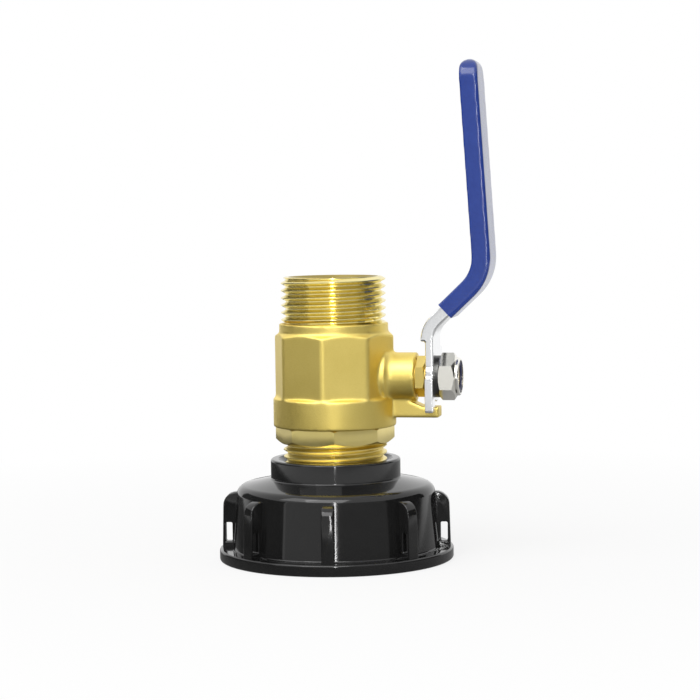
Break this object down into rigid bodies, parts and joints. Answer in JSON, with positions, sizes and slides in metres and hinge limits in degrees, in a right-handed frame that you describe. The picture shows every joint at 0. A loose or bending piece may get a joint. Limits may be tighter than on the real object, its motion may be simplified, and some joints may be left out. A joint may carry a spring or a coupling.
{
  "type": "ibc tank valve",
  "caption": "Quarter-turn brass ball valve with a side lever, threaded outlet on top and a coarse-thread tank cap below.",
  "frame": {"origin": "centre of the cap's open bottom face, on the flow axis", "axes": "+Z along the flow axis from the tank to the outlet; +X along the valve stem, out to the lever"},
  "size_m": [0.0885, 0.0746, 0.1569],
  "materials": {
    "moulded_cap": "black moulded plastic, glossy",
    "seal_rubber": "black rubber, dull",
    "forged_brass": "forged and blasted brass, satin",
    "turned_brass": "turned brass, bright",
    "stem_brass": "turned brass, bright",
    "seat_polymer": "white low-friction polymer",
    "ball_chrome": "chrome plated",
    "lever_steel": "bright zinc plate",
    "sleeve_vinyl": "dipped blue vinyl, glossy",
    "washer_steel": "dark spring steel",
    "nut_steel": "nickel-plated steel, satin",
    "insert_nylon": "dark blue nylon"
  },
  "bodies": {
    "valve": {"tank_cap": "moulded_cap", "tank_gasket": "seal_rubber", "collar_seal": "seal_rubber", "valve_body": "forged_brass", "end_connector": "turned_brass", "body_joint_seal": "seat_polymer", "outlet_seat": "seat_polymer", "tank_side_seat": "seat_polymer", "stem_thrust_washer": "seat_polymer", "stem_packing": "seat_polymer", "packing_follower": "turned_brass", "gland_nut": "turned_brass"},
    "lever_set": {"lever": "lever_steel", "lever_sleeve": "sleeve_vinyl", "stem": "stem_brass", "stem_o_ring": "seal_rubber", "lever_washer": "washer_steel", "lever_nut": "nut_steel", "nut_insert": "insert_nylon"},
    "ball_set": {"ball": "ball_chrome"}
  },
  "joints": [
    {"name": "lever_turn", "type": "hinge", "parent": "valve", "child": "lever_set", "pos_m": [0, 0, 0.058], "axis": [-1, 0, 0], "range_deg": [0, 90]},
    {"name": "ball_turn", "type": "hinge", "parent": "valve", "child": "ball_set", "pos_m": [0, 0, 0.058], "axis": [-1, 0, 0], "range_deg": [0, 90]}
  ],
  "couplings": [
    {"joint": "ball_turn", "follows": "lever_turn", "ratio": 1}
  ]
}
